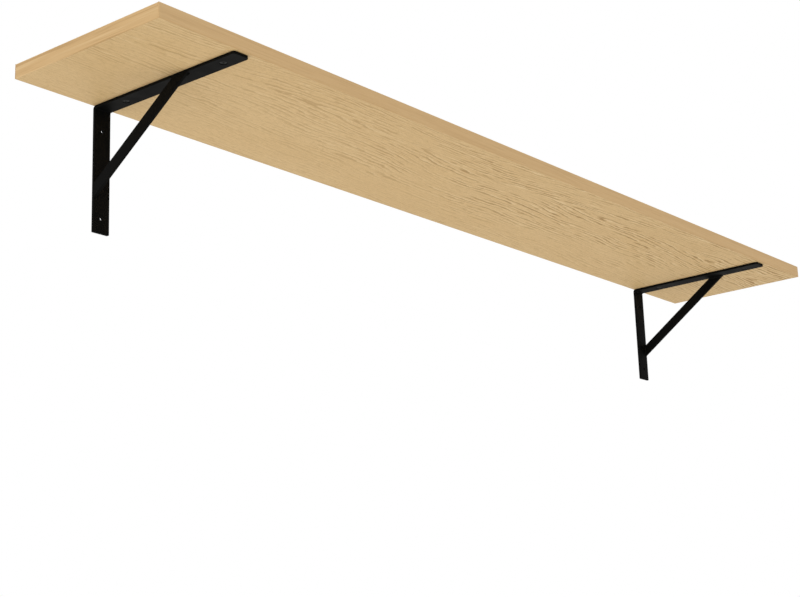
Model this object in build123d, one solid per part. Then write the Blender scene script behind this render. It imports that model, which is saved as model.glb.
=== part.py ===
"""Wall shelf on two braced flat-bar brackets.

Frame, in millimetres: the origin is the centre of the four wall-screw holes, on the wall plane.
+X runs along the shelf, the wall is the plane y = 0 with the shelf on its -Y side, and +Z is up.
"""

import math
import os

from build123d import *

# Shelf board
SHELF_LENGTH = 1200.0
SHELF_DEPTH = 200.0
SHELF_THICKNESS = 15.0
LAMINATE = 0.6
EDGE_BAND = 1.0

# Bracket: one flat bar bent to an L, stiffened by a flat bar on edge
BAR_WIDTH = 20.0
BAR_THICKNESS = 3.0
BEND_OUTER_R = 4.0
ARM_LENGTH = 196.0
LEG_LENGTH = 130.0
TIP_R = 3.5
FOOT_R = 0.8
END_MARGIN = 95.0
BRACE_THICKNESS = 3.0
BRACE_WIDTH = 12.0
BRACE_DROP = 80.0
BRACE_REACH = 113.0

# Holes in the bracket, as distances from its outer corner: plain for the wall, sunk for the board
LEG_HOLES = (25.0, 115.0)
LEG_HOLE_R = 1.8
ARM_HOLES = (37.0, 172.0)
ARM_HOLE_R = 2.0
SINK_R = 4.0

# Welds at the two ends of the brace
WELD_LEG = 2.6
WELD_BULGE = 0.4
WELD_END_GAP = 1.5

# Countersunk wood screws, driven up into the board
SCREW_LENGTH = 13.0
SCREW_HEAD_R = 3.4
SCREW_SHANK_R = 1.75
SCREW_POINT = 3.0
SCREW_POINT_R = 0.3
SCREW_ROOM = 0.05
SCREW_SETBACK = 0.5
RECESS_LENGTH = 3.6
RECESS_WIDTH = 0.8
RECESS_DEPTH = 1.2

# Worked out from the above
SHELF_BOTTOM = sum(LEG_HOLES) / 2
SHELF_TOP = SHELF_BOTTOM + SHELF_THICKNESS
ARM_BOTTOM = SHELF_BOTTOM - BAR_THICKNESS
SINK_DEPTH = SINK_R - ARM_HOLE_R
BRACKET_X = SHELF_LENGTH / 2 - END_MARGIN - BAR_WIDTH / 2
HEAD_Z = ARM_BOTTOM + SCREW_SETBACK
SIDES = {"left": -1, "right": 1}


def block(x_range, y_range, z_range):
    """A box between two values on each axis."""
    size = [high - low for low, high in (x_range, y_range, z_range)]
    centre = [(high + low) / 2 for low, high in (x_range, y_range, z_range)]
    return Pos(*centre) * Box(*size)


def screw_places():
    """The axis of each shelf screw: its name, x and y."""
    for side, sign in SIDES.items():
        for place, reach in zip(("rear", "front"), ARM_HOLES):
            yield f"{side}_{place}_screw", sign * BRACKET_X, -reach


def screw_body(room=0.0):
    """A screw standing on its axis, head down at z = 0, widened all round by room."""
    cone_top = SCREW_HEAD_R - SCREW_SHANK_R
    tip = SCREW_LENGTH + room
    outline = Polyline(
        (0, 0),
        (SCREW_HEAD_R + room, 0),
        (SCREW_SHANK_R + room, cone_top),
        (SCREW_SHANK_R + room, SCREW_LENGTH - SCREW_POINT),
        (SCREW_POINT_R + room, tip),
        (0, tip),
        close=True,
    )
    return revolve(Plane.XZ * make_face(outline), Axis.Z)


def pilot_holes():
    """The holes that the shelf screws make in the board."""
    return [Pos(x, y, HEAD_Z) * screw_body(SCREW_ROOM) for _, x, y in screw_places()]


def board():
    """The particle board core, its two laminates and its four edge bands."""
    half = SHELF_LENGTH / 2
    inner_x = (-half + EDGE_BAND, half - EDGE_BAND)
    inner_y = (-SHELF_DEPTH + EDGE_BAND, -EDGE_BAND)
    full_x = (-half, half)
    full_z = (SHELF_BOTTOM, SHELF_TOP)
    core_z = (SHELF_BOTTOM + LAMINATE, SHELF_TOP - LAMINATE)
    pieces = {
        "board_core": block(inner_x, inner_y, core_z),
        "top_laminate": block(inner_x, inner_y, (core_z[1], SHELF_TOP)),
        "bottom_laminate": block(inner_x, inner_y, (SHELF_BOTTOM, core_z[0])),
        "front_edge_band": block(full_x, (-SHELF_DEPTH, inner_y[0]), full_z),
        "rear_edge_band": block(full_x, (inner_y[1], 0), full_z),
        "left_edge_band": block((-half, inner_x[0]), inner_y, full_z),
        "right_edge_band": block((inner_x[1], half), inner_y, full_z),
    }
    for name in ("board_core", "bottom_laminate"):
        pieces[name] -= pilot_holes()
    return pieces


def plain_hole(face):
    """A through hole along the face's normal, for a wall screw."""
    return face * Cylinder(LEG_HOLE_R, 4 * BAR_THICKNESS)


def sunk_hole(face):
    """A through hole with a 90 degree countersink, entering against the face's normal."""
    bore = Cylinder(ARM_HOLE_R, 4 * BAR_THICKNESS)
    sink = Pos(0, 0, -SINK_DEPTH / 2) * Cone(ARM_HOLE_R, SINK_R, SINK_DEPTH)
    return [face * bore, face * sink]


def strap(centre_x):
    """The L-shaped flat bar: a leg down the wall and an arm under the board."""
    inner_r = BEND_OUTER_R - BAR_THICKNESS
    low = SHELF_BOTTOM - LEG_LENGTH
    path = Polyline(
        (0, low),
        (0, SHELF_BOTTOM),
        (-ARM_LENGTH, SHELF_BOTTOM),
        (-ARM_LENGTH, ARM_BOTTOM),
        (-BAR_THICKNESS, ARM_BOTTOM),
        (-BAR_THICKNESS, low),
        close=True,
    )
    profile = make_face(path)
    outer = profile.vertices().sort_by_distance((0, SHELF_BOTTOM))[0]
    profile = fillet(outer, BEND_OUTER_R)
    inner = profile.vertices().sort_by_distance((-BAR_THICKNESS, ARM_BOTTOM))[0]
    profile = fillet(inner, inner_r)
    bar = extrude(Plane.YZ * profile, BAR_WIDTH / 2, both=True)
    tip_edges = bar.edges().filter_by(Axis.Z).group_by(Axis.Y)[0]
    bar = fillet(tip_edges, TIP_R)
    foot_edges = bar.edges().filter_by(Axis.Y).group_by(Axis.Z)[0]
    bar = fillet(foot_edges, FOOT_R)
    for drop in LEG_HOLES:
        face = Plane((0, -BAR_THICKNESS, SHELF_BOTTOM - drop), x_dir=(1, 0, 0), z_dir=(0, -1, 0))
        bar -= plain_hole(face)
    for reach in ARM_HOLES:
        face = Plane((0, -reach, ARM_BOTTOM), x_dir=(1, 0, 0), z_dir=(0, 0, -1))
        bar -= sunk_hole(face)
    return Pos(centre_x, 0, 0) * bar


def brace_outline():
    """Where the brace meets the leg and the arm, as (y, z) points, and its slope."""
    rise = BRACE_DROP - BAR_THICKNESS
    run = BRACE_REACH - BAR_THICKNESS
    slope = math.atan2(rise, run)
    on_leg = BRACE_WIDTH / math.cos(slope)
    on_arm = BRACE_WIDTH / math.sin(slope)
    leg_z = SHELF_BOTTOM - BRACE_DROP
    leg = ((-BAR_THICKNESS, leg_z), (-BAR_THICKNESS, leg_z - on_leg))
    arm = ((-BRACE_REACH, ARM_BOTTOM), (-BRACE_REACH - on_arm, ARM_BOTTOM))
    return leg, arm


def brace_span(sign):
    """The brace's two x faces, outer first: it is flush with the strap's outer edge."""
    outer = sign * (BRACKET_X + BAR_WIDTH / 2)
    return outer, outer - sign * BRACE_THICKNESS


def brace(sign):
    """The flat bar on edge between the leg and the arm, cut to lie against both."""
    leg, arm = brace_outline()
    face = make_face(Polyline(leg[0], arm[0], arm[1], leg[1], close=True))
    low_x = min(brace_span(sign))
    return extrude(Plane.YZ.offset(low_x) * face, BRACE_THICKNESS)


def weld_section():
    """A slightly bulging fillet weld in the corner at the origin, towards +x and +y."""
    middle = WELD_LEG / 2 + WELD_BULGE
    leg_a = Line((0, 0), (WELD_LEG, 0))
    bulge = ThreePointArc((WELD_LEG, 0), (middle, middle), (0, WELD_LEG))
    leg_b = Line((0, WELD_LEG), (0, 0))
    return make_face([leg_a, bulge, leg_b])


def welds(sign):
    """The two welds on the brace's inner face, along the leg and along the arm."""
    leg, arm = brace_outline()
    inner_x = brace_span(sign)[1]
    inward = (-sign, 0, 0)
    bottom = leg[1][1] + WELD_END_GAP
    leg_length = leg[0][1] - leg[1][1] - 2 * WELD_END_GAP
    front = arm[1][0] + WELD_END_GAP
    arm_length = arm[0][0] - arm[1][0] - 2 * WELD_END_GAP
    # Each plane's x runs inward along the strap, and its y away from the strap's face.
    leg_start = Plane((inner_x, -BAR_THICKNESS, bottom), x_dir=inward, z_dir=(0, 0, sign))
    arm_start = Plane((inner_x, front, ARM_BOTTOM), x_dir=inward, z_dir=(0, -sign, 0))
    lower = extrude(leg_start * weld_section(), leg_length * sign)
    upper = extrude(arm_start * weld_section(), -arm_length * sign)
    return {"lower": lower, "upper": upper}


def screw():
    """A countersunk wood screw with a cross recess, on its axis with its head at z = 0."""
    arms = [
        block((-long / 2, long / 2), (-wide / 2, wide / 2), (0, RECESS_DEPTH))
        for long, wide in ((RECESS_LENGTH, RECESS_WIDTH), (RECESS_WIDTH, RECESS_LENGTH))
    ]
    return screw_body() - arms


def build():
    """Every piece by its name."""
    pieces = board()
    for side, sign in SIDES.items():
        pieces[f"{side}_strap"] = strap(sign * BRACKET_X)
        pieces[f"{side}_brace"] = brace(sign)
        for place, weld in welds(sign).items():
            pieces[f"{side}_{place}_weld"] = weld
    for name, x, y in screw_places():
        pieces[name] = Pos(x, y, HEAD_Z) * screw()
    return pieces


os.makedirs("parts", exist_ok=True)
for node, shape in build().items():
    export_step(shape, f"parts/{node}.step")
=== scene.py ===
"""Looks of a wall shelf with two braced flat-bar brackets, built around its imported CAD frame.

Everything is in metres in the frame's own axes: +X along the shelf, +Y into the wall, +Z up.
"""

import math

import bmesh
import bpy
import numpy as np
from bpy.props import FloatProperty, FloatVectorProperty, IntProperty, PointerProperty
from mathutils import Matrix, Vector


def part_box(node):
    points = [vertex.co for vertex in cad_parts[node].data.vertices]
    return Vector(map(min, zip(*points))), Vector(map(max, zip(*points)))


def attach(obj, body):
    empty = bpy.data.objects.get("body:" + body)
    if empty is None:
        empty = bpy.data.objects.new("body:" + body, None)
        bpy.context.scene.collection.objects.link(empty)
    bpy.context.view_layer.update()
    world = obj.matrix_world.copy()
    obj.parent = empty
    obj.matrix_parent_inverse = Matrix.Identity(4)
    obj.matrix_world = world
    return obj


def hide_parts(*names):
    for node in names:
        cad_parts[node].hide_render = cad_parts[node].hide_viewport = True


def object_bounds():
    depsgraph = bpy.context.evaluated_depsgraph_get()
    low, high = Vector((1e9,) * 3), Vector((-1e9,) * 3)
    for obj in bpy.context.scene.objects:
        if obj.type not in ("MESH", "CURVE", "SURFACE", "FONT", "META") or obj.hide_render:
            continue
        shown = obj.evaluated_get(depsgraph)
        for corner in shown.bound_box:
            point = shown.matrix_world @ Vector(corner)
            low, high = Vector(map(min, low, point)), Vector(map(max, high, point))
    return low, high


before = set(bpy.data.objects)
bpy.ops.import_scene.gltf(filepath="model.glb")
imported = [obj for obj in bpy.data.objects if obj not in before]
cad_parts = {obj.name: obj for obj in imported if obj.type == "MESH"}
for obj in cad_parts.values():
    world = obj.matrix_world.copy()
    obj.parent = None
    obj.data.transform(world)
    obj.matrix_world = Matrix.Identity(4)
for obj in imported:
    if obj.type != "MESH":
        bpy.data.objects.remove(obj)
cad_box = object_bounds()

bl_info = {
    "name": "Wall Shelf with Brackets",
    "version": (1, 0, 0),
    "blender": (4, 5, 0),
    "location": "View3D > Sidebar > Wall Shelf",
    "description": "Laminated board, braced steel brackets and their screws and welds",
    "category": "Add Mesh",
}

MM = 0.001
SIDES = {"left": -1, "right": 1}
SCREW_NODES = [f"{side}_{place}_screw" for side in SIDES for place in ("rear", "front")]

# Angles between faces: sharp ones are rounded, soft ones shade as one surface, flat ones merge.
SHARP_EDGE = math.radians(30)
SOFT_EDGE = math.radians(40)
FLAT_EDGE = math.radians(0.5)
SAME_POINT = 0.001 * MM

# Millimetres over which the figure comes in, and how far the painted highlight beside each growth line trails
# its line in radians.
FIGURE_ONSET = 400.0
PAINTED_HIGHLIGHT_LAG = 1.9

# Half the width of a screw thread's ridge, as a share of its pitch.
THREAD_RIDGE = 0.2

FLOOR_REACH = 30.0
SENSOR_WIDTH = 36.0
BACKDROP_SEEN = 1.0
BACKDROP_FELT = 0.68
# Each light: where it stands, how wide it is, its power in watts and its spread in degrees.
LIGHTS = {
    "left_light": ((-5.6, -1.6, 0.2), 2.2, 13.0, 70.0),
    "under_light": ((-0.36, 0.2, -1.25), 2.4, 4.2, 180.0),
    "front_high_light": ((1.6, -2.6, 3.2), 2.0, 26.0, 180.0),
    "rear_high_light": ((0.6, 2.4, 1.8), 2.0, 34.0, 180.0),
}


def srgb(code):
    """A hex sRGB colour as linear values, with an alpha of 1."""
    channels = [int(code[i : i + 2], 16) / 255 for i in (1, 3, 5)]
    linear = [c / 12.92 if c <= 0.04045 else ((c + 0.055) / 1.055) ** 2.4 for c in channels]
    return (*linear, 1.0)


# ---------------------------------------------------------------- settings


def length(name, description, millimetres):
    """A length property whose default is given in millimetres."""
    return FloatProperty(name=name, description=description, default=millimetres * MM, unit="LENGTH")


def colour(name, description, code):
    """A colour property whose default is a hex sRGB value."""
    return FloatVectorProperty(
        name=name, description=description, default=srgb(code)[:3], subtype="COLOR", size=3, min=0, max=1
    )


def number(name, description, default):
    """A plain number property."""
    return FloatProperty(name=name, description=description, default=default)


class ShelfBoardSettings(bpy.types.PropertyGroup):
    """Edges, grain and colours of the laminated board."""

    band_radius: length("Band radius", "Rounding of the edge bands' outer corners", 0.7)
    glue_chamfer: length("Glue line", "Chamfer at the laminate's rim, which shows as the glue line", 0.12)
    growth_line: length("Growth line pitch", "Distance between growth lines across the grain", 5.2)
    line_length: length("Growth line length", "Length of one unbroken growth line", 42.0)
    heart_line: length("Heart line", "Distance of the arched figure's middle from the wall", 150.0)
    heart_depth: length("Heart depth", "How far the heart of the tree lies under the face", 3.0)
    figure_width: length("Figure width", "Width of the arched figure", 60.0)
    trunk_taper: number("Trunk taper", "Slope of the growth rings along the board", 0.05)
    figure_start: length("Figure start", "Where along the board the figure comes in strongly", -330.0)
    pore_length: length("Pore length", "Length of one open pore", 6.0)
    pore_width: length("Pore width", "Width of one open pore", 0.4)
    oak: colour("Oak", "Main colour of the decor laminate", "#DFBD86")
    oak_line: colour("Oak line", "Colour of the growth lines", "#9C743F")
    # Pale oak tone: random pale patches in the ground, and also the painted highlight along one side of each
    # growth line.
    oak_pale_and_highlight: colour("Oak light", "Colour of the pale edge beside a growth line", "#EFD3A2")
    band: colour("Band", "Main colour of the edge banding", "#D5B07B")
    band_line: colour("Band line", "Colour of the banding's dark stripes", "#A9834F")
    band_light: colour("Band light", "Colour of the banding's pale stripes", "#E6C795")


class ShelfBracketSettings(bpy.types.PropertyGroup):
    """Edges, welds and colours of the brackets."""

    bar_radius: length("Bar radius", "Rounding of the rolled bar's edges", 0.45)
    brace_radius: length("Brace radius", "Rounding of the brace's edges", 0.35)
    weld_pitch: length("Weld pitch", "Distance between ripples along a weld", 1.15)
    weld_ripple: length("Weld ripple", "Half length of one ripple along the weld", 1.25)
    weld_jitter: number("Weld jitter", "How much the ripples differ in size, from 0 to 1", 0.10)
    weld_seed: IntProperty(name="Weld seed", description="Seed of the ripples' sizes", default=4)
    coat: colour("Powder coat", "Colour of the bracket's powder coat", "#090908")


class ShelfScrewSettings(bpy.types.PropertyGroup):
    """Thread, recess and colours of the shelf screws."""

    thread_radius: length("Thread radius", "Outer radius of the thread", 1.75)
    head_height: length("Head height", "Height of the countersunk head", 1.65)
    point_length: length("Point length", "Length of the tapered point", 3.0)
    thread_pitch: length("Thread pitch", "Distance between turns of the thread", 1.6)
    thread_core: number("Thread core", "Core radius as a share of the thread's outer radius", 0.66)
    recess_span: length("Recess span", "Width of the cross recess from tip to tip", 3.8)
    recess_slot: length("Recess slot", "Width of one slot of the cross recess", 0.85)
    recess_depth: length("Recess depth", "Depth of the cross recess", 1.3)
    turn_seed: IntProperty(name="Turn seed", description="Seed of the screws' turned positions", default=11)
    steel: colour("Screw steel", "Colour of the phosphated steel", "#111112")


class ShelfStageSettings(bpy.types.PropertyGroup):
    """Camera, floor and lights."""

    camera_place: FloatVectorProperty(
        name="Camera place", description="Where the camera stands", size=3, subtype="TRANSLATION",
        unit="LENGTH", default=(-1.5060, -1.2021, -0.5473),
    )
    heading: FloatProperty(
        name="Heading", description="Camera heading, from +Y towards +X", unit="ROTATION",
        default=math.radians(50.659),
    )
    pitch: FloatProperty(
        name="Pitch", description="How far the camera looks up", unit="ROTATION", default=math.radians(14.975)
    )
    roll: FloatProperty(
        name="Roll", description="Camera roll about its view", unit="ROTATION", default=math.radians(-1.935)
    )
    lens: number("Lens", "Focal length in millimetres on a 36 mm sensor", 75.24)
    hang_height: length("Hanging height", "Height of the shelf's screws above the floor", 1350.0)
    floor: colour("Floor", "Colour of the pale floor", "#F2F1EE")


# ---------------------------------------------------------------- node helpers


def add_node(tree, kind, settings=None, links=None):
    """Adds a node, sets its properties, then fills its inputs with values or links."""
    node = tree.nodes.new(kind)
    for name, value in (settings or {}).items():
        setattr(node, name, value)
    for socket, value in (links or {}).items():
        if isinstance(value, bpy.types.NodeSocket):
            tree.links.new(value, node.inputs[socket])
        else:
            node.inputs[socket].default_value = value
    return node


def new_material(name):
    """An empty node material and its tree."""
    material = bpy.data.materials.new(name)
    material.use_nodes = True
    material.node_tree.nodes.clear()
    return material, material.node_tree


def finish_material(tree, settings):
    """Adds the surface shader with its settings and links it to the output."""
    shader = add_node(tree, "ShaderNodeBsdfPrincipled", {}, settings)
    add_node(tree, "ShaderNodeOutputMaterial", {}, {"Surface": shader.outputs["BSDF"]})
    return shader


def millimetres(tree, turn=0.0):
    """Object coordinates in millimetres, turned about Z so that the grain runs along X."""
    place = add_node(tree, "ShaderNodeTexCoord").outputs["Object"]
    links = {"Vector": place, "Rotation": (0, 0, turn), "Scale": (1000, 1000, 1000)}
    return add_node(tree, "ShaderNodeMapping", {"vector_type": "POINT"}, links).outputs["Vector"]


def stretched_noise(tree, vector, along, across, detail=2.0, roughness=0.5):
    """Noise whose features are along x across millimetres in size."""
    size = (1 / along, 1 / across, 1 / across)
    scaled = add_node(tree, "ShaderNodeVectorMath", {"operation": "MULTIPLY"}, {0: vector, 1: size})
    links = {"Vector": scaled.outputs[0], "Scale": 1.0, "Detail": detail, "Roughness": roughness}
    return add_node(tree, "ShaderNodeTexNoise", {"noise_dimensions": "3D"}, links).outputs["Fac"]


def ramp(tree, value, low, high, start=0.0, end=1.0):
    """A value eased from start to end as it goes from low to high."""
    links = {"Value": value, "From Min": low, "From Max": high, "To Min": start, "To Max": end}
    node = add_node(tree, "ShaderNodeMapRange", {"interpolation_type": "SMOOTHSTEP"}, links)
    return node.outputs["Result"]


def calculate(tree, operation, first, second):
    """One sum on two values."""
    links = {0: first, 1: second}
    return add_node(tree, "ShaderNodeMath", {"operation": operation}, links).outputs[0]


def product(tree, *values):
    """Several values multiplied together."""
    result = values[0]
    for value in values[1:]:
        result = calculate(tree, "MULTIPLY", result, value)
    return result


def blend_colours(tree, share, first, second):
    """The first colour turning into the second as share goes from 0 to 1."""
    node = add_node(tree, "ShaderNodeMix", {"data_type": "RGBA", "clamp_factor": True})
    for socket, value in zip((0, 6, 7), (share, first, second)):
        if isinstance(value, bpy.types.NodeSocket):
            tree.links.new(value, node.inputs[socket])
        else:
            node.inputs[socket].default_value = value
    return node.outputs[2]


def opaque(rgb):
    """A property's colour with its alpha."""
    return (*rgb, 1.0)


# ---------------------------------------------------------------- materials


def flowing_grain(tree, place, swing, reach, breadth):
    """Bends the grain: shifts points across it by up to swing over reach x breadth millimetres."""
    wander = stretched_noise(tree, place, reach, breadth, detail=1.5)
    shift = calculate(tree, "MULTIPLY", calculate(tree, "SUBTRACT", wander, 0.5), 2 * swing)
    across = add_node(tree, "ShaderNodeCombineXYZ", {}, {"Y": shift, "Z": shift}).outputs[0]
    return add_node(tree, "ShaderNodeVectorMath", {"operation": "ADD"}, {0: place, 1: across}).outputs[0]


def ring_distance(tree, spot, settings):
    """How far each point of the face lies from the heart of the tapered tree, in millimetres."""
    beside_heart = calculate(tree, "ADD", spot["Y"], settings.heart_line / MM)
    squared = calculate(tree, "MULTIPLY", beside_heart, beside_heart)
    from_heart = calculate(tree, "ADD", squared, (settings.heart_depth / MM) ** 2)
    rise = calculate(tree, "MULTIPLY", spot["X"], settings.trunk_taper)
    ring = calculate(tree, "SUBTRACT", calculate(tree, "SQRT", from_heart, 0.0), rise)
    return ring, calculate(tree, "ABSOLUTE", beside_heart, 0.0)


def line_strength(tree, flow, spot, aside, settings):
    """How strongly the growth lines show: in bundles, broken here and there, by the heart line."""
    width = settings.figure_width / MM
    start = settings.figure_start / MM
    figure = ramp(tree, aside, 0.5 * width, 2.0 * width, 1.0, 0.4)
    onset = ramp(tree, spot["X"], start, start + FIGURE_ONSET, 0.5, 1.0)
    breaks = ramp(tree, stretched_noise(tree, flow, settings.line_length / MM, 5.0), 0.36, 0.54)
    bundles = ramp(tree, stretched_noise(tree, flow, 160.0, 22.0), 0.36, 0.58, 0.22, 1.0)
    return product(tree, breaks, bundles, figure, onset)


def growth_lines(tree, flow, settings):
    """The lines where tapered growth rings meet a flat-sawn face.

    Rings around a heart that lies under the face meet it in long arches about the heart line.
    Gives how dark each point is from a line, and how strongly the painted highlight along the line's one side
    shows there.
    """
    pitch = settings.growth_line / MM
    spot = add_node(tree, "ShaderNodeSeparateXYZ", {}, {"Vector": flow}).outputs
    ring, aside = ring_distance(tree, spot, settings)
    uneven = stretched_noise(tree, flow, 46.0, 9.0, detail=3.0, roughness=0.55)
    spread = calculate(tree, "MULTIPLY", uneven, 2.0 * pitch)
    phase = calculate(tree, "MULTIPLY", calculate(tree, "ADD", ring, spread), 2 * math.pi / pitch)
    # The pale edge is a painted highlight: it trails each line on one side, where an embossed groove's edge
    # would catch the light.
    beside = calculate(tree, "ADD", phase, PAINTED_HIGHLIGHT_LAG)
    line = ramp(tree, calculate(tree, "SINE", phase, 0.0), 0.15, 0.90)
    edge = ramp(tree, calculate(tree, "SINE", beside, 0.0), 0.20, 0.90)
    shown = line_strength(tree, flow, spot, aside, settings)
    return product(tree, line, shown), product(tree, edge, shown)


def oak_laminate(settings):
    """Light oak decor laminate: pressed melamine paper with a printed and embossed grain.

    The eye sees an even straw-beige ground with a long arched figure of thin growth lines, each
    with a painted highlight along one edge, calm stretches beside it, short embossed pores, and a dry matt
    sheen.
    """
    material, tree = new_material("oak_decor_laminate")
    place = millimetres(tree)
    flow = flowing_grain(tree, place, swing=26.0, reach=260.0, breadth=110.0)
    dark, light = growth_lines(tree, flow, settings)
    fibres = stretched_noise(tree, flow, 34.0, 1.1, detail=4.0, roughness=0.7)
    dashes = stretched_noise(tree, flow, settings.pore_length / MM, settings.pore_width / MM, detail=1.0)
    crowding = calculate(tree, "MAXIMUM", dark, 0.55)
    pores = calculate(tree, "MULTIPLY", ramp(tree, dashes, 0.54, 0.62), crowding)
    patches = stretched_noise(tree, place, 240.0, 60.0, detail=2.0)
    oak, line, pale = (opaque(c) for c in (settings.oak, settings.oak_line, settings.oak_pale_and_highlight))
    ground = blend_colours(tree, ramp(tree, patches, 0.35, 0.70, 0.0, 0.14), oak, pale)
    fine = blend_colours(tree, ramp(tree, fibres, 0.42, 0.72, 0.0, 0.18), ground, line)
    # Painted highlight: the pale colour laid along one side of each growth line.
    lit = blend_colours(tree, calculate(tree, "MULTIPLY", light, 0.75), fine, pale)
    lined = blend_colours(tree, calculate(tree, "MULTIPLY", dark, 0.75), lit, line)
    grain = blend_colours(tree, calculate(tree, "MULTIPLY", pores, 0.50), lined, line)
    raised = calculate(tree, "SUBTRACT", calculate(tree, "MULTIPLY", fibres, 0.3), pores)
    relief = calculate(tree, "SUBTRACT", raised, calculate(tree, "MULTIPLY", dark, 0.15))
    bump = add_node(
        tree, "ShaderNodeBump", {}, {"Height": relief, "Strength": 0.3, "Distance": 0.10 * MM}
    )
    finish_material(
        tree,
        {
            "Base Color": grain,
            "Roughness": ramp(tree, dark, 0.0, 1.0, 0.54, 0.68),
            "IOR": 1.5,
            "Specular IOR Level": 0.3,
            "Normal": bump.outputs["Normal"],
        },
    )
    return material


def oak_edge_band(settings, name, turn, stripes):
    """Oak-printed ABS edge banding, glued on and trimmed; stripes is how strongly it is striped.

    The eye sees a slightly warmer, deeper strip than the laminate, with long fine stripes running
    along the strip and a satin sheen on its rounded corners.
    """
    material, tree = new_material(name)
    place = millimetres(tree, turn)
    flow = flowing_grain(tree, place, swing=3.0, reach=160.0, breadth=60.0)
    broad = stretched_noise(tree, flow, 150.0, 3.6, detail=2.0)
    fibres = stretched_noise(tree, flow, 50.0, 1.0, detail=3.0, roughness=0.6)
    band, line, pale = (opaque(c) for c in (settings.band, settings.band_line, settings.band_light))
    light = blend_colours(tree, ramp(tree, broad, 0.48, 0.64, 0.0, stripes), band, pale)
    striped = blend_colours(tree, ramp(tree, broad, 0.47, 0.34, 0.0, stripes), light, line)
    fine = ramp(tree, fibres, 0.45, 0.75, 0.0, 0.25)
    grain = blend_colours(tree, fine, striped, line)
    bump = add_node(
        tree, "ShaderNodeBump", {"invert": True}, {"Height": fine, "Strength": 0.3, "Distance": 0.06 * MM}
    )
    finish_material(
        tree,
        {
            "Base Color": grain,
            "Roughness": 0.48,
            "IOR": 1.5,
            "Specular IOR Level": 0.35,
            "Normal": bump.outputs["Normal"],
        },
    )
    return material


def particle_board():
    """Raw particle board: pressed wood chips bound with resin.

    The eye sees small flat chips from straw to brown at all angles, with dark gaps between them.
    """
    material, tree = new_material("raw_particle_board")
    place = millimetres(tree)
    chip = (1 / 4.0, 1 / 4.0, 1 / 1.2)
    scaled = add_node(tree, "ShaderNodeVectorMath", {"operation": "MULTIPLY"}, {0: place, 1: chip})
    chips = add_node(
        tree, "ShaderNodeTexVoronoi", {"feature": "F1"}, {"Vector": scaled.outputs[0], "Scale": 1.0}
    )
    shade = add_node(tree, "ShaderNodeSeparateXYZ", {}, {"Vector": chips.outputs["Color"]}).outputs["X"]
    tone = blend_colours(tree, shade, srgb("#B08A58"), srgb("#D8BC8C"))
    gaps = ramp(tree, chips.outputs["Distance"], 0.42, 0.75)
    pressed = blend_colours(tree, gaps, tone, srgb("#6E5234"))
    bump = add_node(
        tree, "ShaderNodeBump", {"invert": True}, {"Height": gaps, "Strength": 0.6, "Distance": 0.3 * MM}
    )
    finish_material(
        tree,
        {"Base Color": pressed, "Roughness": 0.85, "IOR": 1.45, "Normal": bump.outputs["Normal"]},
    )
    return material


def powder_coated_steel(settings):
    """Mild steel bar under a matt black polyester powder coat, sprayed and baked.

    The eye sees an even soft black with a faint orange-peel skin and a low, broad sheen that
    picks out rounded edges and weld ripples.
    """
    material, tree = new_material("matt_black_powder_coat")
    place = millimetres(tree)
    peel = stretched_noise(tree, place, 0.9, 0.9, detail=2.0, roughness=0.55)
    cloud = stretched_noise(tree, place, 26.0, 26.0, detail=2.0)
    dust = ramp(tree, stretched_noise(tree, place, 0.35, 0.35, detail=1.0), 0.62, 0.78)
    coat = opaque(settings.coat)
    dusty = opaque(1.9 * c for c in settings.coat)
    tone = blend_colours(tree, calculate(tree, "MULTIPLY", dust, 0.6), coat, dusty)
    bump = add_node(
        tree, "ShaderNodeBump", {}, {"Height": peel, "Strength": 0.30, "Distance": 0.08 * MM}
    )
    finish_material(
        tree,
        {
            "Base Color": tone,
            "Roughness": ramp(tree, cloud, 0.3, 0.7, 0.54, 0.64),
            "IOR": 1.5,
            "Specular IOR Level": 0.05,
            "Normal": bump.outputs["Normal"],
        },
    )
    return material


def phosphated_steel(settings):
    """Hardened steel screw, black phosphated and oiled.

    The eye sees a dark grey-black metal with a fine crystalline dullness and a slight oily glint.
    """
    material, tree = new_material("black_phosphated_steel")
    place = millimetres(tree)
    crystals = stretched_noise(tree, place, 0.25, 0.25, detail=3.0, roughness=0.7)
    steel = opaque(settings.steel)
    worn = srgb("#303032")
    tone = blend_colours(tree, ramp(tree, crystals, 0.5, 0.8, 0.0, 0.35), steel, worn)
    bump = add_node(
        tree, "ShaderNodeBump", {}, {"Height": crystals, "Strength": 0.25, "Distance": 0.03 * MM}
    )
    finish_material(
        tree,
        {
            "Base Color": tone,
            "Metallic": 0.7,
            "Roughness": ramp(tree, crystals, 0.3, 0.7, 0.38, 0.55),
            "Normal": bump.outputs["Normal"],
        },
    )
    return material


def pale_floor(settings):
    """Pale matt floor paint: an almost white, dull, even surface."""
    material, tree = new_material("pale_floor_paint")
    place = millimetres(tree)
    mottle = stretched_noise(tree, place, 900.0, 900.0, detail=2.0)
    darker = opaque(0.97 * c for c in settings.floor)
    tone = blend_colours(tree, mottle, opaque(settings.floor), darker)
    finish_material(tree, {"Base Color": tone, "Roughness": 0.9, "Specular IOR Level": 0.2})
    return material


# ---------------------------------------------------------------- mesh helpers


def add_object(name, mesh, materials=()):
    """Puts a mesh in the scene as an object at the origin."""
    for material in materials:
        mesh.materials.append(material)
    piece = bpy.data.objects.new(name, mesh)
    bpy.context.scene.collection.objects.link(piece)
    return piece


def shade_by_area(mesh):
    """Smooth shading that follows the larger faces and stays crisp across real corners.

    At each face corner it adds up the faces that meet there and turn away less than SOFT_EDGE.
    """
    meeting = [[] for _ in mesh.vertices]
    for face in mesh.polygons:
        face.use_smooth = True
        for vertex in face.vertices:
            meeting[vertex].append((np.array(face.normal), face.area))
    normals = []
    for face in mesh.polygons:
        own = np.array(face.normal)
        for vertex in face.vertices:
            pull = sum(n * area for n, area in meeting[vertex] if n @ own > math.cos(SOFT_EDGE))
            normals.append(pull / np.linalg.norm(pull))
    mesh.normals_split_custom_set(normals)


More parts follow.
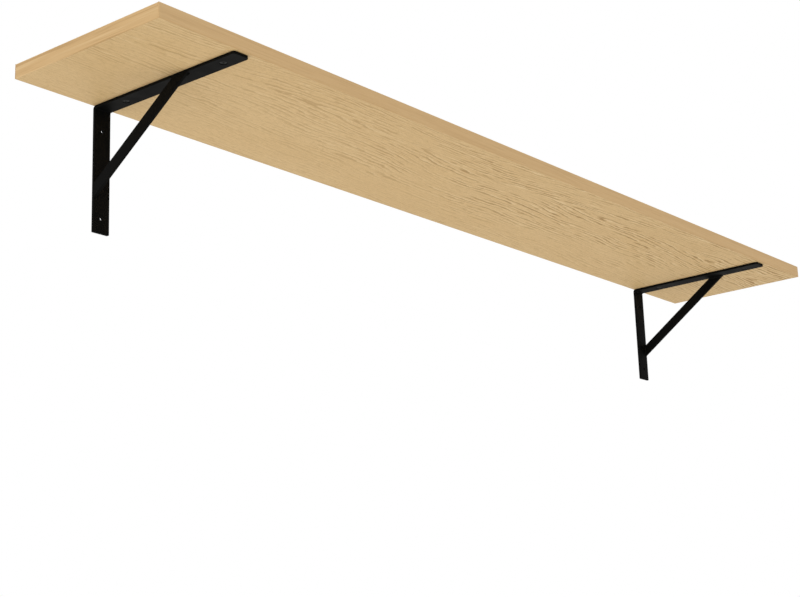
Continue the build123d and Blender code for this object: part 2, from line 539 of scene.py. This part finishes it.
def eased_copy(node, name, material, radius, segments=3, wanted=None):
    """A copy of a CAD node with clean flat faces and its sharp edges rounded to a radius.

    wanted picks the edges to round by their middle and the directions of their two faces.
    """
    shape = bmesh.new()
    shape.from_mesh(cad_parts[node].data)
    bmesh.ops.remove_doubles(shape, verts=shape.verts, dist=SAME_POINT)
    bmesh.ops.dissolve_limit(shape, angle_limit=FLAT_EDGE, verts=shape.verts, edges=shape.edges)
    sharp = [e for e in shape.edges if e.calc_face_angle(0) > SHARP_EDGE]
    if wanted:
        sharp = [e for e in sharp if wanted(e)]
    bmesh.ops.bevel(
        shape, geom=sharp, offset=radius, offset_type="OFFSET", segments=segments, profile=0.5,
        affect="EDGES", clamp_overlap=True,
    )
    mesh = bpy.data.meshes.new(name)
    shape.to_mesh(mesh)
    shape.free()
    shade_by_area(mesh)
    return add_object(name, mesh, [material])


def ring_mesh(name, rings):
    """A closed tube through rings of points, with a fan at each end."""
    shape = bmesh.new()
    rows = [[shape.verts.new(point) for point in ring] for ring in rings]
    for low, high in zip(rows, rows[1:]):
        for i in range(len(low)):
            j = (i + 1) % len(low)
            shape.faces.new((low[i], low[j], high[j], high[i]))
    for row in (rows[0], rows[-1]):
        middle = shape.verts.new(sum((v.co for v in row), Vector()) / len(row))
        for i in range(len(row)):
            shape.faces.new((row[i], row[(i + 1) % len(row)], middle))
    bmesh.ops.recalc_face_normals(shape, faces=shape.faces)
    mesh = bpy.data.meshes.new(name)
    shape.to_mesh(mesh)
    shape.free()
    return mesh


def place_piece(piece, slot, *nodes):
    """Rides a finished piece on the body and hides the CAD nodes it stands for."""
    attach(piece, "root")
    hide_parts(*nodes)


# ---------------------------------------------------------------- geometry nodes


def repeat_tree(name, along_line):
    """A tree that sets copies of an object on points, or at a pitch along a line.

    Its inputs are the object, the pitch, how much the copies shrink and turn at random, the seed
    and the material.
    """
    tree = bpy.data.node_groups.new(name, "GeometryNodeTree")
    tree.is_modifier = True
    sockets = {
        "Geometry": "NodeSocketGeometry",
        "Piece": "NodeSocketObject",
        "Pitch": "NodeSocketFloat",
        "Shrink": "NodeSocketFloat",
        "Turn": "NodeSocketFloat",
        "Seed": "NodeSocketInt",
        "Material": "NodeSocketMaterial",
    }
    for socket, kind in sockets.items():
        tree.interface.new_socket(name=socket, in_out="INPUT", socket_type=kind)
    tree.interface.new_socket(name="Geometry", in_out="OUTPUT", socket_type="NodeSocketGeometry")
    given = add_node(tree, "NodeGroupInput").outputs
    if along_line:
        line = add_node(tree, "GeometryNodeMeshToCurve", {}, {"Mesh": given["Geometry"]})
        spaced = add_node(
            tree, "GeometryNodeResampleCurve", {"mode": "LENGTH"},
            {"Curve": line.outputs[0], "Length": given["Pitch"]},
        )
        points = spaced.outputs[0]
    else:
        points = add_node(tree, "GeometryNodeMeshToPoints", {}, {"Mesh": given["Geometry"]}).outputs[0]
    piece = add_node(
        tree, "GeometryNodeObjectInfo", {"transform_space": "ORIGINAL"}, {"Object": given["Piece"]}
    )
    smallest = calculate(tree, "SUBTRACT", 1.0, given["Shrink"])
    size = add_node(
        tree, "FunctionNodeRandomValue", {"data_type": "FLOAT"},
        {2: smallest, 3: 1.0, "Seed": given["Seed"]},
    )
    turn = add_node(
        tree, "FunctionNodeRandomValue", {"data_type": "FLOAT"},
        {2: 0.0, 3: given["Turn"], "Seed": given["Seed"]},
    )
    spin = add_node(tree, "ShaderNodeCombineXYZ", {}, {"Z": turn.outputs[1]})
    copies = add_node(
        tree, "GeometryNodeInstanceOnPoints", {},
        {
            "Points": points,
            "Instance": piece.outputs["Geometry"],
            "Rotation": spin.outputs[0],
            "Scale": size.outputs[1],
        },
    )
    solid = add_node(tree, "GeometryNodeRealizeInstances", {}, {"Geometry": copies.outputs[0]})
    coated = add_node(
        tree, "GeometryNodeSetMaterial", {},
        {"Geometry": solid.outputs[0], "Material": given["Material"]},
    )
    add_node(tree, "NodeGroupOutput", {}, {"Geometry": coated.outputs[0]})
    return tree


def repeated(name, points, joined, tree, values):
    """Runs a repeat tree over points and returns the result as a plain mesh object."""
    edges = [(i, i + 1) for i in range(len(points) - 1)] if joined else []
    guide = bpy.data.meshes.new(name + "_guide")
    guide.from_pydata([tuple(p) for p in points], edges, [])
    carrier = add_object(name + "_carrier", guide)
    modifier = carrier.modifiers.new("Repeat", "NODES")
    modifier.node_group = tree
    inputs = {item.name: item.identifier for item in tree.interface.items_tree if item.in_out == "INPUT"}
    for socket, value in values.items():
        modifier[inputs[socket]] = value
    bpy.context.view_layer.update()
    graph = bpy.context.evaluated_depsgraph_get()
    mesh = bpy.data.meshes.new_from_object(carrier.evaluated_get(graph), depsgraph=graph)
    mesh.name = name
    carrier.modifiers.remove(modifier)
    bpy.data.objects.remove(carrier)
    bpy.data.objects.remove(values["Piece"])
    return add_object(name, mesh)


# ---------------------------------------------------------------- board


class SHELF_OT_core(bpy.types.Operator):
    """Give the hidden particle board core its material"""

    bl_idname = "shelf.core"
    bl_label = "Board core"

    def execute(self, context):
        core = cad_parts["board_core"]
        core.data.materials.clear()
        core.data.materials.append(particle_board())
        return {"FINISHED"}


class SHELF_OT_laminates(bpy.types.Operator):
    """Make the two decor laminates with a fine chamfer at the glue line"""

    bl_idname = "shelf.laminates"
    bl_label = "Laminates"

    def execute(self, context):
        settings = context.scene.shelf_board
        decor = oak_laminate(settings)
        for face in ("top", "bottom"):
            node = f"{face}_laminate"
            rim_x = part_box(node)[1].x - MM
            rim_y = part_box(node)[1].y - MM
            low_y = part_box(node)[0].y + MM

            def on_rim(edge):
                middle = (edge.verts[0].co + edge.verts[1].co) / 2
                return abs(middle.x) > rim_x or middle.y > rim_y or middle.y < low_y

            piece = eased_copy(node, f"{face}_decor", decor, settings.glue_chamfer, 1, on_rim)
            place_piece(piece, "oak_laminate", node)
        return {"FINISHED"}


class SHELF_OT_bands(bpy.types.Operator):
    """Make the four edge bands with rounded outer corners"""

    bl_idname = "shelf.bands"
    bl_label = "Edge bands"

    def execute(self, context):
        settings = context.scene.shelf_board
        along = oak_edge_band(settings, "oak_edge_band_long", 0.0, 0.1)
        across = oak_edge_band(settings, "oak_edge_band_end", math.pi / 2, 0.45)
        bands = {
            "front": (Vector((0, -1, 0)), along),
            "rear": (Vector((0, 1, 0)), along),
            "left": (Vector((-1, 0, 0)), across),
            "right": (Vector((1, 0, 0)), across),
        }
        for side, (outward, material) in bands.items():
            node = f"{side}_edge_band"

            def on_outside(edge):
                return any(face.normal.dot(outward) > 0.5 for face in edge.link_faces)

            piece = eased_copy(node, f"{side}_band", material, settings.band_radius, 5, on_outside)
            place_piece(piece, "oak_edge_band", node)
        return {"FINISHED"}


# ---------------------------------------------------------------- brackets


class SHELF_OT_straps(bpy.types.Operator):
    """Make the bent flat bars with rolled edges and eased screw holes"""

    bl_idname = "shelf.straps"
    bl_label = "Bracket straps"

    def execute(self, context):
        settings = context.scene.shelf_bracket
        coat = powder_coated_steel(settings)
        for side in SIDES:
            node = f"{side}_strap"
            low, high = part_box(node)
            centre_x = (low.x + high.x) / 2
            hole_reach = (high.x - low.x) / 4

            def on_outline(edge):
                middle = (edge.verts[0].co + edge.verts[1].co) / 2
                return abs(middle.x - centre_x) > hole_reach or edge.calc_length() > 2 * MM

            piece = eased_copy(node, f"{side}_bent_bar", coat, settings.bar_radius, 4, on_outline)
            place_piece(piece, "bracket_steel", node)
        return {"FINISHED"}


class SHELF_OT_braces(bpy.types.Operator):
    """Make the diagonal braces with rolled edges"""

    bl_idname = "shelf.braces"
    bl_label = "Bracket braces"

    def execute(self, context):
        settings = context.scene.shelf_bracket
        coat = bpy.data.materials["matt_black_powder_coat"]
        for side in SIDES:
            node = f"{side}_brace"
            piece = eased_copy(node, f"{side}_diagonal_bar", coat, settings.brace_radius, 4)
            place_piece(piece, "bracket_steel", node)
        return {"FINISHED"}


def weld_ripple(inward, away, along, leg, half_length):
    """One ripple of a fillet weld: a rounded quarter disc in the corner, domed along the weld.

    It is drawn about the origin. inward and away are the two faces' directions.
    """
    sections = 8
    spread = 12
    end_shrink = 0.34
    flattening = 0.10
    lean = 0.35 * half_length
    rings = []
    for step in range(sections + 1):
        t = -1 + 2 * step / sections
        size = leg * (1 - end_shrink * t * t)
        ring = [along * (t * half_length)]
        for k in range(spread + 1):
            angle = math.pi / 2 * k / spread
            bulge = math.sin(2 * angle)
            reach = size * (1 - flattening * bulge)
            point = inward * (reach * math.cos(angle)) + away * (reach * math.sin(angle))
            ring.append(point + along * (t * half_length + lean * (bulge - 0.5)))
        rings.append(ring)
    return ring_mesh("weld_ripple", rings)


class SHELF_OT_welds(bpy.types.Operator):
    """Lay the rippled weld beads along each end of each brace"""

    bl_idname = "shelf.welds"
    bl_label = "Weld beads"

    def execute(self, context):
        settings = context.scene.shelf_bracket
        coat = bpy.data.materials["matt_black_powder_coat"]
        tree = repeat_tree("weld_bead", along_line=True)
        for side, sign in SIDES.items():
            for place in ("lower", "upper"):
                node = f"{side}_{place}_weld"
                low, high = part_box(node)
                inward = Vector((-sign, 0, 0))
                corner_x = high.x if sign > 0 else low.x
                if place == "lower":
                    along, away = Vector((0, 0, 1)), Vector((0, -1, 0))
                    start = Vector((corner_x, high.y, low.z))
                    run = high.z - low.z
                else:
                    along, away = Vector((0, 1, 0)), Vector((0, 0, -1))
                    start = Vector((corner_x, low.y, high.z))
                    run = high.y - low.y
                leg = high.x - low.x
                ripple = weld_ripple(inward, away, along, leg, settings.weld_ripple)
                for face in ripple.polygons:
                    face.use_smooth = True
                first = start + along * settings.weld_ripple
                last = start + along * (run - settings.weld_ripple)
                values = {
                    "Piece": add_object("weld_ripple", ripple),
                    "Pitch": settings.weld_pitch,
                    "Shrink": settings.weld_jitter,
                    "Turn": 0.0,
                    "Seed": settings.weld_seed,
                    "Material": coat,
                }
                piece = repeated(f"{side}_{place}_bead", [first, last], True, tree, values)
                place_piece(piece, "bracket_steel", node)
        return {"FINISHED"}


# ---------------------------------------------------------------- screws


def thread_ring(settings, z, left, around):
    """One ring of the threaded shank at height z; left is the share of its radius that is left."""
    ring = []
    for k in range(around):
        phase = (z / settings.thread_pitch - k / around) % 1
        ridge = max(0.0, 1 - abs(phase - 0.5) / THREAD_RIDGE)
        share = settings.thread_core + (1 - settings.thread_core) * ridge
        ring.append((settings.thread_radius * share * left, z))
    return ring


def screw_rings(settings, head_r, total):
    """Rings of a countersunk wood screw, head down at z = 0, with a helical thread."""
    shank_r = settings.thread_radius
    cone = settings.head_height
    point = settings.point_length
    around = 40
    rows_per_turn = 10
    point_shrink = 0.86
    rim = 0.12 * MM
    neck = cone + 0.8 * MM
    levels = [(0.0, head_r - rim), (rim / 3, head_r - rim / 3), (rim, head_r), (2 * rim, head_r - rim)]
    levels += [(cone * 0.9, shank_r * 1.06), (cone, shank_r * 0.98), (neck, shank_r * 0.9)]
    rings = [[(r, z)] * around for z, r in levels]
    z = neck
    step = settings.thread_pitch / rows_per_turn
    taper = total - point
    while z < total - step:
        z += step
        left = 1.0 if z < taper else 1 - point_shrink * (z - taper) / point
        rings.append(thread_ring(settings, z, left, around))
    angles = [2 * math.pi * k / around for k in range(around)]
    return [[(r * math.cos(a), r * math.sin(a), z) for a, (r, z) in zip(angles, ring)] for ring in rings]


def cross_cutter(settings):
    """A tapered cross that cuts the driver recess up into a head at z = 0."""
    parts = []
    for turned in (False, True):
        rings = []
        for z, share in ((-settings.recess_depth / 2, 1.25), (settings.recess_depth, 0.5)):
            long = settings.recess_span / 2 * share
            wide = settings.recess_slot / 2 * (0.6 + 0.4 * share)
            corners = [(long, wide), (-long, wide), (-long, -wide), (long, -wide)]
            if turned:
                corners = [(-y, x) for x, y in corners]
            rings.append([(x, y, z) for x, y in corners])
        parts.append(add_object("recess_cutter", ring_mesh("recess_cutter", rings)))
    return parts


def make_screw(settings, low, high):
    """One finished screw standing at the origin, head down."""
    rings = screw_rings(settings, (high.x - low.x) / 2, high.z - low.z)
    body = add_object("screw_body", ring_mesh("screw_body", rings))
    cutters = cross_cutter(settings)
    for cutter in cutters:
        cut = body.modifiers.new("Recess", "BOOLEAN")
        cut.operation = "DIFFERENCE"
        cut.object = cutter
        cut.solver = "EXACT"
    bpy.context.view_layer.update()
    graph = bpy.context.evaluated_depsgraph_get()
    mesh = bpy.data.meshes.new_from_object(body.evaluated_get(graph), depsgraph=graph)
    for used in (body, *cutters):
        bpy.data.objects.remove(used)
    shape = bmesh.new()
    shape.from_mesh(mesh)
    bmesh.ops.remove_doubles(shape, verts=shape.verts, dist=SAME_POINT)
    shape.to_mesh(mesh)
    shape.free()
    mesh.shade_smooth()
    mesh.set_sharp_from_angle(angle=SHARP_EDGE)
    return add_object("screw", mesh)


class SHELF_OT_screws(bpy.types.Operator):
    """Set the four countersunk wood screws in the brackets' arms"""

    bl_idname = "shelf.screws"
    bl_label = "Shelf screws"

    def execute(self, context):
        settings = context.scene.shelf_screw
        boxes = [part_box(node) for node in SCREW_NODES]
        heads = [Vector(((low.x + high.x) / 2, (low.y + high.y) / 2, low.z)) for low, high in boxes]
        values = {
            "Piece": make_screw(settings, *boxes[0]),
            "Pitch": 1.0,
            "Shrink": 0.0,
            "Turn": math.pi / 2,
            "Seed": settings.turn_seed,
            "Material": phosphated_steel(settings),
        }
        piece = repeated("shelf_screws", heads, False, repeat_tree("set_screws", along_line=False), values)
        place_piece(piece, "screw_steel", *SCREW_NODES)
        return {"FINISHED"}


# ---------------------------------------------------------------- stage


def add_area_light(name, place, aim, size, power, spread):
    """A soft white square light that shines from place to aim, over spread degrees."""
    light = bpy.data.lights.new(name, "AREA")
    light.shape = "SQUARE"
    light.size = size
    light.energy = power
    light.spread = math.radians(spread)
    lamp = bpy.data.objects.new(name, light)
    facing = (aim - place).to_track_quat("-Z", "Y").to_matrix().to_4x4()
    lamp.matrix_world = Matrix.Translation(place) @ facing
    bpy.context.scene.collection.objects.link(lamp)


def white_surroundings(seen, felt):
    """A white backdrop as seen, and a softer white that lights the shelf."""
    world = bpy.data.worlds.new("white_studio")
    bpy.context.scene.world = world
    world.use_nodes = True
    tree = world.node_tree
    tree.nodes.clear()
    straight = add_node(tree, "ShaderNodeLightPath").outputs["Is Camera Ray"]
    backdrop = add_node(tree, "ShaderNodeBackground", {}, {"Color": (1, 1, 1, 1), "Strength": seen})
    soft = add_node(tree, "ShaderNodeBackground", {}, {"Color": (1, 1, 1, 1), "Strength": felt})
    mixed = add_node(
        tree, "ShaderNodeMixShader", {},
        {0: straight, 1: soft.outputs[0], 2: backdrop.outputs[0]},
    )
    add_node(tree, "ShaderNodeOutputWorld", {}, {"Surface": mixed.outputs[0]})


def add_camera(settings):
    """The camera: it stands low in front of the left end and looks up along the shelf."""
    lens = bpy.data.cameras.new("shelf_camera")
    lens.lens = settings.lens
    lens.sensor_width = SENSOR_WIDTH
    lens.clip_end = 3 * FLOOR_REACH
    camera = bpy.data.objects.new("shelf_camera", lens)
    level = Vector((math.sin(settings.heading), math.cos(settings.heading), 0))
    ahead = level * math.cos(settings.pitch) + Vector((0, 0, 1)) * math.sin(settings.pitch)
    side = ahead.cross(Vector((0, 0, 1))).normalized()
    turn = Matrix.Rotation(-settings.roll, 3, ahead)
    right = turn @ side
    above = right.cross(ahead)
    camera.matrix_world = Matrix.Translation(settings.camera_place) @ Matrix(
        (right, above, -ahead)
    ).transposed().to_4x4()
    bpy.context.scene.collection.objects.link(camera)
    bpy.context.scene.camera = camera


class SHELF_OT_stage(bpy.types.Operator):
    """Set the pale floor, the white surroundings, the lights and the camera"""

    bl_idname = "shelf.stage"
    bl_label = "Stage"

    def execute(self, context):
        settings = context.scene.shelf_stage
        half = FLOOR_REACH
        level = -settings.hang_height
        corners = [(-half, -half, level), (half, -half, level), (half, half, level), (-half, half, level)]
        mesh = bpy.data.meshes.new("floor")
        mesh.from_pydata(corners, [], [(0, 1, 2, 3)])
        add_object("floor", mesh, [pale_floor(settings)])
        white_surroundings(BACKDROP_SEEN, BACKDROP_FELT)
        middle = (cad_box[0] + cad_box[1]) / 2
        for name, (place, size, power, spread) in LIGHTS.items():
            add_area_light(name, Vector(place), middle, size, power, spread)
        add_camera(settings)
        context.scene.view_settings.view_transform = "Standard"
        return {"FINISHED"}


# ---------------------------------------------------------------- panel and run


class SHELF_PT_panel(bpy.types.Panel):
    """Settings and steps of the wall shelf"""

    bl_idname = "SHELF_PT_panel"
    bl_label = "Wall Shelf"
    bl_space_type = "VIEW_3D"
    bl_region_type = "UI"
    bl_category = "Wall Shelf"

    def draw(self, context):
        for group in SETTINGS:
            box = self.layout.box()
            box.label(text=group.replace("_", " "))
            settings = getattr(context.scene, group)
            for name in settings.bl_rna.properties.keys():
                if name not in ("rna_type", "name"):
                    box.prop(settings, name)
        for step in STEPS:
            self.layout.operator(step.bl_idname)


SETTINGS = {
    "shelf_board": ShelfBoardSettings,
    "shelf_bracket": ShelfBracketSettings,
    "shelf_screw": ShelfScrewSettings,
    "shelf_stage": ShelfStageSettings,
}
STEPS = (
    SHELF_OT_core,
    SHELF_OT_laminates,
    SHELF_OT_bands,
    SHELF_OT_straps,
    SHELF_OT_braces,
    SHELF_OT_welds,
    SHELF_OT_screws,
    SHELF_OT_stage,
)


def register():
    """Registers the settings, the steps and the panel."""
    for part in (*SETTINGS.values(), *STEPS, SHELF_PT_panel):
        bpy.utils.register_class(part)
    for name, group in SETTINGS.items():
        setattr(bpy.types.Scene, name, PointerProperty(type=group))


def unregister():
    """Takes away what register added."""
    for name in SETTINGS:
        delattr(bpy.types.Scene, name)
    for part in reversed((*SETTINGS.values(), *STEPS, SHELF_PT_panel)):
        bpy.utils.unregister_class(part)


def main():
    register()
    for step in STEPS:
        group, name = step.bl_idname.split(".")
        getattr(getattr(bpy.ops, group), name)()


if __name__ == "__main__":
    main()
